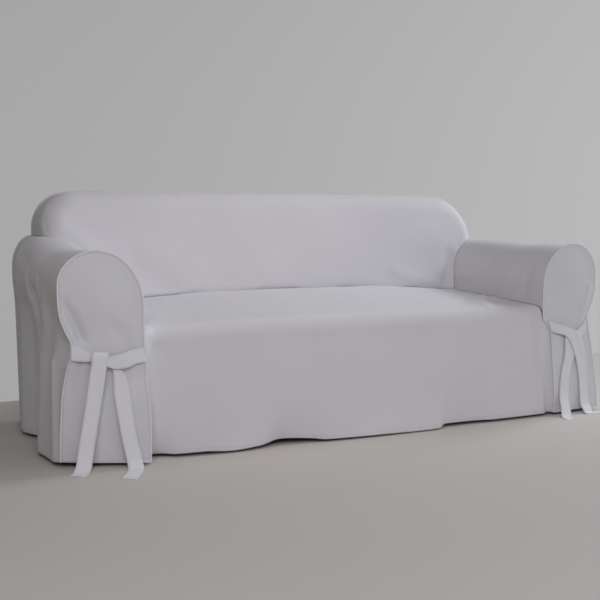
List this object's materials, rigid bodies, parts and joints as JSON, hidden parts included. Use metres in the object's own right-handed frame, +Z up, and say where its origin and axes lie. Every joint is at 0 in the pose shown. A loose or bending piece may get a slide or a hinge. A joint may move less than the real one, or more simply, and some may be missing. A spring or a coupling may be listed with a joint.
{
  "type": "sofa slipcover",
  "caption": "Fitted white cotton cover for a rolled-arm sofa, hollow and open below, with panelled arm fronts and tie straps.",
  "frame": {"origin": "on the floor under the middle of the cover's bounding box", "axes": "+X to the right of someone facing the sofa, +Y towards the sofa's back, +Z up; the front faces -Y"},
  "size_m": [2.182, 1.0341, 0.875],
  "materials": {
    "white_cotton": "matt plain-woven cotton duck",
    "tie_cotton": "matt plain-woven cotton duck, single straps with turned edges"
  },
  "bodies": {
    "root": {"inside_back": "white_cotton", "outside_back": "white_cotton", "seat_and_skirt": "white_cotton", "arm_left": "white_cotton", "arm_right": "white_cotton", "arm_front_left": "white_cotton", "arm_front_right": "white_cotton", "tie_left_outer": "tie_cotton", "tie_left_inner": "tie_cotton", "tie_right_outer": "tie_cotton", "tie_right_inner": "tie_cotton"}
  },
  "joints": []
}
